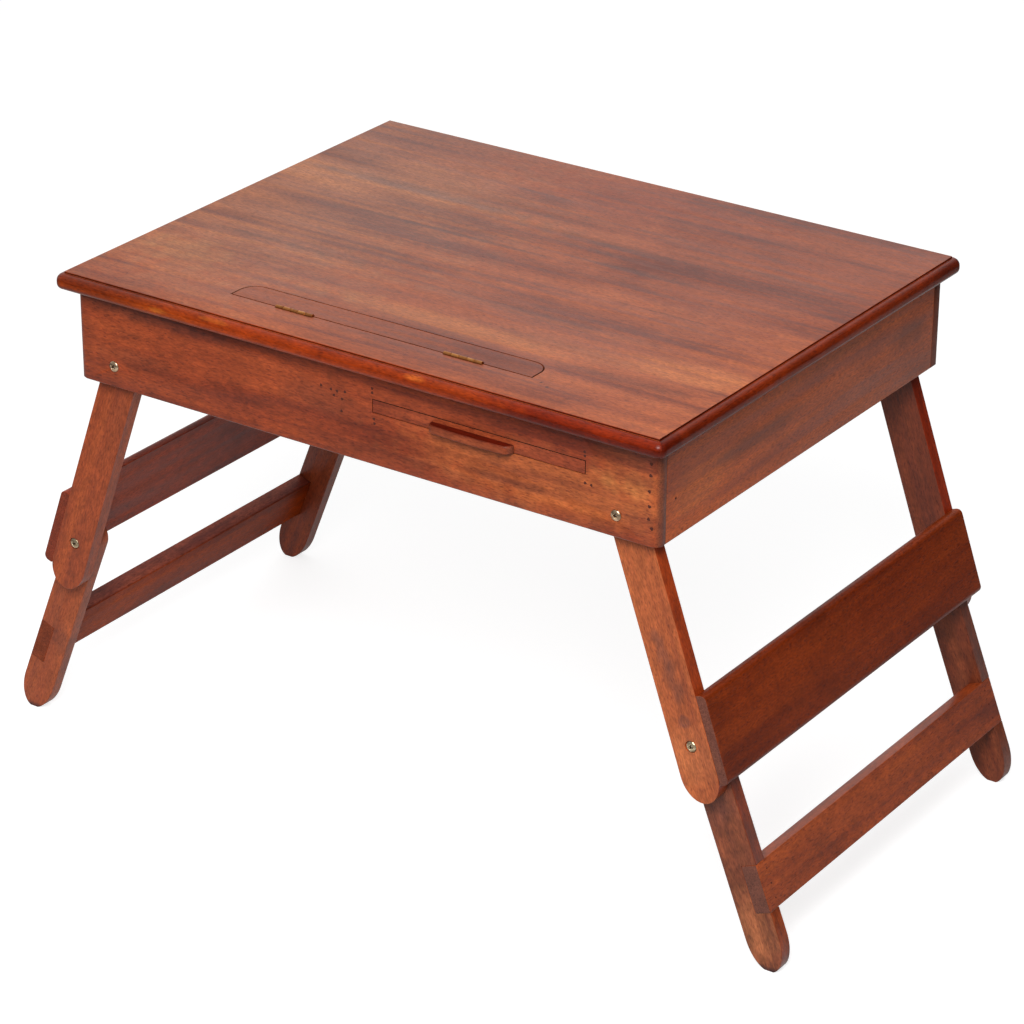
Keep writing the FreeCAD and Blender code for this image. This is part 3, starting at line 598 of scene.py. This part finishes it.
def nail_heads(name, body, places, out, material):
    """Sunk nails under dark stopping: low ragged mounds on a face that looks along out.
    places are pairs of a centre and a radius."""
    side = out.orthogonal().normalized()
    up = out.cross(side)
    segments = 14
    bm = bmesh.new()
    for number, (place, radius) in enumerate(places):
        rings = []
        for share, rise in NAIL_PROFILE:
            ring = []
            for i in range(segments):
                angle = 2 * math.pi * i / segments
                wave = math.sin(3 * angle + number * 2.3)
                r = radius * share * (1.0 + NAIL_RAGGED * wave)
                ring.append(bm.verts.new(Vector(place) + out * rise
                                         + side * r * math.cos(angle)
                                         + up * r * math.sin(angle)))
            rings.append(ring)
        ring_faces(bm, rings)
    placed(name, bm, material, body, 60.0)


# ---------------------------------------------------------------- marks on the wood
# What a mark does to the wood's red, green and blue.
DARK = (0.66, 0.74, 1.05)
SMOKY = (0.78, 0.84, 1.05)
PALE = (1.14, 1.36, 1.45)
# knots and dark dots, and also painted shade along the bottom of the feet
KNOT_AND_FOOT_SHADE = (0.30, 0.32, 0.6)
STAIN = (0.50, 0.62, 1.2)

# Each mark is a centre, a reach along X, Y and Z, and a tint.
TOP_MARKS = (
    # painted sheen: the left half of the top is paler and bluer
    ((-0.25, 0.06, 0.461), (0.26, 0.32, 0.02), (1.04, 1.46, 1.95)),
    ((-0.08, 0.19, 0.461), (0.26, 0.07, 0.02), (0.92, 0.82, 0.90)),
    ((0.24, 0.12, 0.461), (0.26, 0.22, 0.02), (0.80, 0.68, 0.62)),
    ((-0.165, 0.098, 0.461), (0.16, 0.011, 0.02), DARK),
    ((0.04, 0.086, 0.461), (0.14, 0.008, 0.02), SMOKY),
    ((0.20, 0.102, 0.461), (0.12, 0.006, 0.02), SMOKY),
    ((-0.18, -0.073, 0.461), (0.12, 0.006, 0.02), DARK),
    ((0.05, -0.082, 0.461), (0.17, 0.009, 0.02), SMOKY),
    ((0.13, -0.124, 0.461), (0.11, 0.013, 0.02), SMOKY),
    ((0.21, -0.152, 0.461), (0.10, 0.006, 0.02), SMOKY),
    ((0.17, -0.019, 0.461), (0.07, 0.0017, 0.02), DARK),
    ((-0.08, 0.03, 0.461), (0.14, 0.004, 0.02), DARK),
    ((0.10, 0.045, 0.461), (0.12, 0.005, 0.02), SMOKY),
    ((-0.245, -0.135, 0.461), (0.055, 0.034, 0.02), (1.06, 1.22, 1.15)),
    ((0.255, -0.112, 0.461), (0.07, 0.028, 0.02), PALE),
    ((0.02, -0.14, 0.461), (0.15, 0.02, 0.02), (1.02, 1.18, 1.06)),
    ((0.1629, -0.1943, 0.461), (0.0021, 0.0021, 0.004), KNOT_AND_FOOT_SHADE),
    ((0.1718, -0.1990, 0.461), (0.0019, 0.0019, 0.004), KNOT_AND_FOOT_SHADE))
MOULDING_MARKS = (
    # painted shade: the right end of the front moulding is darker
    ((0.25, -0.236, 0.455), (0.13, 0.03, 0.03), (0.68, 0.46, 0.38)),
    ((0.07, -0.238, 0.457), (0.012, 0.01, 0.003), (1.5, 2.6, 3.4)),
    ((-0.13, -0.238, 0.457), (0.020, 0.01, 0.002), (1.3, 2.0, 2.4)),
    ((-0.19, -0.238, 0.453), (0.010, 0.01, 0.003), (1.4, 2.2, 2.8)),
    ((0.303, 0.02, 0.455), (0.02, 0.30, 0.03), (0.84, 0.82, 0.82)),
    ((-0.25, -0.236, 0.455), (0.12, 0.03, 0.03), (1.04, 1.28, 1.15)))
END_MARKS = (
    ((0.293, -0.075, 0.405), (0.02, 0.080, 0.011), DARK),
    ((0.293, 0.172, 0.410), (0.02, 0.038, 0.014), DARK),
    ((0.293, 0.060, 0.432), (0.02, 0.070, 0.006), SMOKY),
    ((0.293, -0.165, 0.400), (0.02, 0.055, 0.030), (1.0, 1.14, 1.25)))
FRONT_MARKS = (
    ((0.19, -0.2233, 0.392), (0.17, 0.02, 0.034), (1.38, 2.0, 2.0)),
    ((0.26, -0.2233, 0.425), (0.045, 0.02, 0.028), (1.2, 1.6, 1.6)),
    # painted shade: a thin dark band just under the moulding
    ((-0.20, -0.2233, 0.436), (0.10, 0.02, 0.009), DARK),
    ((-0.23, -0.2233, 0.392), (0.05, 0.02, 0.012), SMOKY),
    ((-0.03, -0.2233, 0.408), (0.055, 0.02, 0.016), SMOKY),
    ((0.03, -0.2233, 0.374), (0.12, 0.02, 0.008), SMOKY),
    ((0.16, -0.2233, 0.383), (0.07, 0.02, 0.005), SMOKY),
    # painted shade: a thin dark band just under the moulding
    ((0.23, -0.2233, 0.440), (0.06, 0.02, 0.006), SMOKY))
RIGHT_LEG_MARKS = (
    ((0.3141, -0.2110, 0.2118), (0.0070, 0.02, 0.0070), STAIN),
    ((0.3141, -0.2110, 0.2118), (0.0046, 0.02, 0.0046), (1.45, 1.30, 0.90)),
    ((0.2845, -0.2110, 0.2800), (0.0055, 0.02, 0.0085), DARK),
    ((0.2900, -0.2110, 0.2690), (0.0050, 0.02, 0.0180), DARK),
    ((0.2960, -0.2110, 0.2580), (0.0052, 0.02, 0.0180), DARK),
    ((0.3010, -0.2110, 0.2490), (0.0060, 0.02, 0.0170), DARK),
    ((0.3075, -0.2110, 0.2380), (0.0075, 0.02, 0.0150), DARK),
    ((0.325, -0.2110, 0.183), (0.030, 0.02, 0.030), (1.10, 1.25, 1.35)))
LOWER_LEG_MARKS = (
    # painted light: the lower end of the leg is paler, as if lit from the floor
    ((0.376, -0.1970, 0.035), (0.035, 0.03, 0.045), (1.5, 1.8, 1.7)),
    ((0.338, -0.1970, 0.150), (0.020, 0.02, 0.035), SMOKY),
    # painted shade along the bottom of the foot
    ((0.391, -0.1970, 0.0), (0.020, 0.03, 0.006), KNOT_AND_FOOT_SHADE))
LEFT_FOOT_MARKS = (
    # painted shade along the bottom of the foot
    ((-0.391, -0.1970, 0.0), (0.020, 0.03, 0.006), KNOT_AND_FOOT_SHADE),
    ((-0.355, -0.1970, 0.080), (0.012, 0.02, 0.022), SMOKY))

# ---------------------------------------------------------------- wooden pieces
# painted shade: dark faces beside hairline gaps and in the screws' recesses
PAINTED_RECESS_SHADE = filler("painted_shade_in_gaps", PAINTED_SHADE)
INNER_RED = (0.300, 0.055, 0.017)    # pieces inside the box

# Each is a node, the axis of its grain, its colour, and what else wood() is told.
BOX_WOOD = (
    ("book_stop", "X", (0.300, 0.066, 0.021),
     {"wear": 0.1, "smoke": 0.1, "mottle": 0.08, "contrast": 0.7}),
    ("front_apron", "X", (0.305, 0.050, 0.0135),
     {"marks": FRONT_MARKS, "wear": 0.25, "shine": (1.36, 0.06)}),
    ("back_apron", "X", (0.250, 0.044, 0.013), {}),
    ("left_end_apron", "Y", (0.250, 0.044, 0.013), {}),
    ("right_end_apron", "Y", (0.510, 0.098, 0.020),
     {"marks": END_MARKS, "contrast": 0.85, "wear": 0.25, "mottle": 0.08}),
    ("left_drawer_runner", "Y", INNER_RED, {}),
    ("right_drawer_runner", "Y", INNER_RED, {}),
    ("left_rack", "Y", INNER_RED, {}),
    ("right_rack", "Y", INNER_RED, {}),
    ("left_prop_block", "Y", INNER_RED, {}),
    ("right_prop_block", "Y", INNER_RED, {}),
    ("left_prop_arm", "Y", INNER_RED, {}),
    ("right_prop_arm", "Y", INNER_RED, {}),
    ("prop_rail", "X", INNER_RED, {}),
    ("drawer_front", "X", (0.310, 0.056, 0.018), {"contrast": 1.2, "wear": 0.1}),
    ("drawer_pull", "X", (0.290, 0.062, 0.023),
     {"wear": 0.8, "shine": (1.27, 0.0),
      # painted shade: the pull's top and bottom faces are darker and redder
      "side": ((0.0, 0.0, 1.0), (0.40, 0.11, 0.06))}),
    ("drawer_back", "X", INNER_RED, {}),
    ("drawer_left_side", "Y", INNER_RED, {}),
    ("drawer_right_side", "Y", INNER_RED, {}),
    ("drawer_bottom", "X", INNER_RED, {}))
for number, (node, grain, tone, looks) in enumerate(BOX_WOOD, 1):
    wooden(node, number, grain, tone, **looks)

# heights: the moulding's step, darkened with painted shade
MOULDING = {"marks": MOULDING_MARKS, "contrast": 1.3, "wear": 0.5, "rough": (0.20, 0.34),
            "heights": (0.45955, 0.46035), "shine": (1.30, 0.02)}
eased("top_panel",
      [wood("top_wood", "X", (0.340, 0.076, 0.023), marks=TOP_MARKS, contrast=1.1,
            wear=0.2, mottle=0.07, smoke=0.12, shine=(1.37, 0.08)),
       wood("long_moulding_wood", "X", (0.275, 0.030, 0.003), **MOULDING),
       wood("end_moulding_wood", "Y", (0.250, 0.027, 0.003), shift=(0.4, 0.2, 0.0),
            **MOULDING)], part_of_top)

# Faces across X in the legs' own frame, and the painted light and shade they are tinted
# with.
RED_PAINTED_SHADE_SIDES = ((1.0, 0.0, 0.0), (0.90, 0.50, 0.25))
REDDER_PAINTED_LIGHT_SIDES = ((1.0, 0.0, 0.0), (1.8, 0.75, 0.20))
WARM_PAINTED_LIGHT_SIDES = ((1.0, 0.0, 0.0), (1.30, 0.80, 0.10))
UPPER_LEG_WOOD = (
    ("right_front_upper_leg", "Z", (0.430, 0.102, 0.031),
     {"marks": RIGHT_LEG_MARKS, "contrast": 0.7, "smoke": 0.15, "side": RED_PAINTED_SHADE_SIDES}),
    # the darker tone of this back leg is partly painted shade
    ("right_back_upper_leg", "Z", (0.150, 0.030, 0.012),
     {"contrast": 0.9, "side": REDDER_PAINTED_LIGHT_SIDES}),
    ("right_leg_board", "Y", (0.200, 0.025, 0.0025),
     {"cut": (0.17, 0.056, 0.034), "shine": (1.26, 0.0), "mottle": 0.10}),
    ("left_front_upper_leg", "Z", (0.350, 0.066, 0.0195), {"contrast": 0.8}),
    ("left_back_upper_leg", "Z", (0.280, 0.058, 0.018), {}),
    ("left_leg_board", "Y", (0.340, 0.048, 0.015),
     {"contrast": 0.9, "shine": (1.26, 0.0)}))
for number, (node, grain, tone, looks) in enumerate(UPPER_LEG_WOOD, 30):
    lean = UPPER_SPLAY if node.startswith("right") else -UPPER_SPLAY
    wooden(node, number, grain, tone, lean=lean, **looks)

LOWER_LEG_WOOD = (
    ("right_front_lower_leg", "Z", (0.250, 0.066, 0.026),
     {"contrast": 0.9, "marks": LOWER_LEG_MARKS, "mottle": 0.30, "side": RED_PAINTED_SHADE_SIDES}),
    # the darker tone of this back leg is partly painted shade
    ("right_back_lower_leg", "Z", (0.160, 0.034, 0.013),
     {"contrast": 0.9, "mottle": 0.24}),
    ("right_leg_stretcher", "Y", (0.300, 0.050, 0.010), {"cut": (0.150, 0.046, 0.027)}),
    ("left_front_lower_leg", "Z", (0.360, 0.075, 0.024),
     {"contrast": 0.8, "marks": LEFT_FOOT_MARKS}),
    ("left_back_lower_leg", "Z", (0.250, 0.044, 0.013), {}),
    ("left_leg_stretcher", "Y", (0.262, 0.055, 0.028),
     {"cut": (0.23, 0.048, 0.018), "shine": (1.20, 0.0), "side": WARM_PAINTED_LIGHT_SIDES}))
for number, (node, grain, tone, looks) in enumerate(LOWER_LEG_WOOD, 50):
    lean = LOWER_SPLAY if node.startswith("right") else -LOWER_SPLAY
    wooden(node, number, grain, tone, lean=lean, **looks)

# ---------------------------------------------------------------- metal pieces
BRASS = metal("old_brass", rgb(0.62, 0.27, 0.085), rgb(0.44, 0.17, 0.052), 0.36)
DARK_BRASS = metal("dark_brass", rgb(0.47, 0.19, 0.060), rgb(0.30, 0.11, 0.036), 0.42)
STEEL = metal("screw_steel", rgb(0.64, 0.46, 0.30), rgb(0.30, 0.20, 0.12), 0.30)
GILT = metal("gilt_steel", rgb(0.66, 0.54, 0.36), rgb(0.30, 0.22, 0.13), 0.32)
STOPPING = filler("nail_stopping", (0.080, 0.026, 0.019))

for node in ("top_hinge_apron_leaves", "top_hinge_top_leaves"):
    paint(node, BRASS)
stop_hinge_leaves("stop_hinge_top_leaves", -LEAF_FAR, -LEAF_NEAR, 0, DARK_BRASS)
stop_hinge_leaves("stop_hinge_stop_leaves", LEAF_NEAR, LEAF_FAR, 1, BRASS)
for sign, side in ((1, "right"), (-1, "left")):
    paint(side + "_pivot_washers", STEEL)
    screws(side + "_pivot_screws", sign * PIVOT.x, PIVOT.z, -PIVOT.y + SEAT_PLAY,
           PIVOT_SHANK, STEEL, (0.5 + sign, 2.0))
    screws(side + "_knee_screws", sign * KNEE_X, KNEE_Z, KNEE_SEAT + SEAT_PLAY,
           KNEE_SHANK, GILT, (0.9 - sign, 1.3))

# Millimetres from the middle of the apron, and below the top's surface.
FRONT_NAILS = (
    (18.4, -31.2), (18.4, -34.9), (19.8, -57.8), (20.3, -61.7), (224.1, -33.3),
    (224.4, -36.6), (225.0, -59.7), (230.7, -60.2), (285.6, -27.4), (285.3, -37.3),
    (284.4, -51.1), (284.7, -63.9), (284.1, -74.8), (287.0, -82.3), (-33.5, -41.2),
    (-23.4, -42.2), (-17.3, -42.5), (-9.1, -41.3), (-20.4, -46.8), (-12.3, -48.3),
    (-13.0, -59.1))
CORNER_NAILS_FROM = 280              # larger ones hold the box's corner
nail_heads("front_nails", "box",
           [((x / 1000, APRON_FRONT, TOP_SURFACE + z / 1000),
             CORNER_NAIL_RADIUS if x > CORNER_NAILS_FROM else NAIL_RADIUS)
            for x, z in FRONT_NAILS], Vector((0, -1, 0)), STOPPING)
nail_heads("right_end_nail", "box", [((APRON_END, -0.1987, 0.3973), NAIL_RADIUS)],
           Vector((1, 0, 0)), STOPPING)
for sign, side in ((1, "right"), (-1, "left")):
    out = Vector((sign * math.cos(LOWER_SPLAY), 0, math.sin(LOWER_SPLAY)))
    down = Vector((sign * math.sin(LOWER_SPLAY), 0, -math.cos(LOWER_SPLAY)))
    knee = Vector((sign * KNEE_X, 0, KNEE_Z)) + out * LOWER_LEG_HALF
    spots = [(knee + down * (STRETCHER_DROP + step * STRETCHER_NAIL_PITCH)
              + Vector((0, end * STRETCHER_END_Y, 0)), STRETCHER_NAIL_RADIUS)
             for end in (-1, 1) for step in (-1, 0, 1)]
    nail_heads(side + "_stretcher_nails", side + "_lower_frame", spots, out, STOPPING)


# ---------------------------------------------------------------- studio
def camera():
    """The photograph's viewpoint."""
    azimuth, elevation, roll = (math.radians(angle) for angle in CAMERA_ANGLES)
    back = Vector((math.sin(azimuth) * math.cos(elevation),
                   -math.cos(azimuth) * math.cos(elevation), math.sin(elevation)))
    level = Vector((math.cos(azimuth), math.sin(azimuth), 0.0))
    up = back.cross(level)
    across = level * math.cos(roll) + up * math.sin(roll)
    upright = up * math.cos(roll) - level * math.sin(roll)
    data = bpy.data.cameras.new("camera")
    data.sensor_width = SENSOR_WIDTH
    data.lens = FOCAL_LENGTH / PHOTO_SIDE * SENSOR_WIDTH
    made = bpy.data.objects.new("camera", data)
    bpy.context.scene.collection.objects.link(made)
    turn = Matrix((across, upright, back)).transposed().to_4x4()
    made.matrix_world = Matrix.Translation(CAMERA_PLACE) @ turn
    bpy.context.scene.camera = made


def lamp(name, place, aim, size, power):
    data = bpy.data.lights.new(name, "AREA")
    data.size = size
    data.energy = power
    made = bpy.data.objects.new(name, data)
    bpy.context.scene.collection.objects.link(made)
    made.location = place
    made.rotation_euler = (Vector(aim) - Vector(place)).to_track_quat("-Z", "Y").to_euler()


def floor():
    """White to the camera, with the stand's shadow on it, and a duller white to gloss. It
    is matt and dim to other rays, and clear from below."""
    mesh = bpy.data.meshes.new("floor")
    far = FLOOR_HALF
    mesh.from_pydata([(-far, -far, 0), (far, -far, 0), (far, far, 0), (-far, far, 0)], [],
                     [(0, 1, 2, 3)])
    made = shown("floor", mesh)
    s = fresh_shader("floor_white")
    path = s.node("ShaderNodeLightPath")
    seen = s.seen_directly(path)
    place = s.node("ShaderNodeTexCoord").outputs["Object"]
    near = s.node("ShaderNodeMapRange", {
        "Value": s.vector("LENGTH", place, output="Value"), "From Min": FLOOR_NEAR,
        "From Max": FLOOR_FAR, "To Min": 1.0, "To Max": 0.0}).outputs[0]
    mirrored = s.math("MULTIPLY", path.outputs["Is Glossy Ray"],
                      s.math("MULTIPLY", near, NEAR_GLOSS))
    matt = s.node("ShaderNodeBsdfDiffuse",
                  {"Color": s.ramp(near, (0.0, FAR_MATT), (1.0, NEAR_MATT))})
    glow = s.node("ShaderNodeEmission", {"Color": rgb(1, 1, 1)})
    screen = s.math("MULTIPLY", seen, s.ramp(near, (0.0, FAR_GLOW), (1.0, NEAR_GLOW)))
    s.feed(glow.inputs["Strength"], s.math("MAXIMUM", screen, mirrored))
    both = s.node("ShaderNodeAddShader", {0: matt.outputs[0], 1: glow.outputs[0]})
    clear = s.node("ShaderNodeBsdfTransparent")
    side = s.node("ShaderNodeNewGeometry").outputs["Backfacing"]
    cover = s.node("ShaderNodeMixShader",
                   {0: side, 1: both.outputs[0], 2: clear.outputs[0]})
    mesh.materials.append(s.finish(cover.outputs[0]))


def world():
    """White to the camera. To other rays, soft light with a bright wall on one side and a
    dark end on another."""
    made = bpy.data.worlds.new("studio")
    bpy.context.scene.world = made
    s = Shader(made)
    path = s.node("ShaderNodeLightPath")
    seen = s.seen_directly(path)
    way = s.node("ShaderNodeTexCoord").outputs["Generated"]
    wall = s.node("ShaderNodeMapRange", {
        "Value": s.vector("DOT_PRODUCT", way, TOWARDS_WALL, "Value"), "From Min": 0.1,
        "From Max": 0.9, "To Min": AMBIENT, "To Max": WALL}).outputs[0]
    dusk = s.node("ShaderNodeMapRange", {
        "Value": s.vector("DOT_PRODUCT", way, TOWARDS_DUSK, "Value"), "From Min": 0.45,
        "From Max": 0.85, "To Min": 1.0, "To Max": DUSK / AMBIENT}).outputs[0]
    level = s.math("MAXIMUM", s.math("MULTIPLY", wall, dusk), seen)
    s.tree.links.new(level, s.tree.nodes["Background"].inputs["Strength"])
    s.tree.nodes["Background"].inputs["Color"].default_value = (1, 1, 1, 1)


camera()
floor()
world()
lamp("key", KEY_PLACE, KEY_AIM, KEY_SIZE, KEY_POWER)
bpy.context.scene.view_settings.view_transform = "Standard"
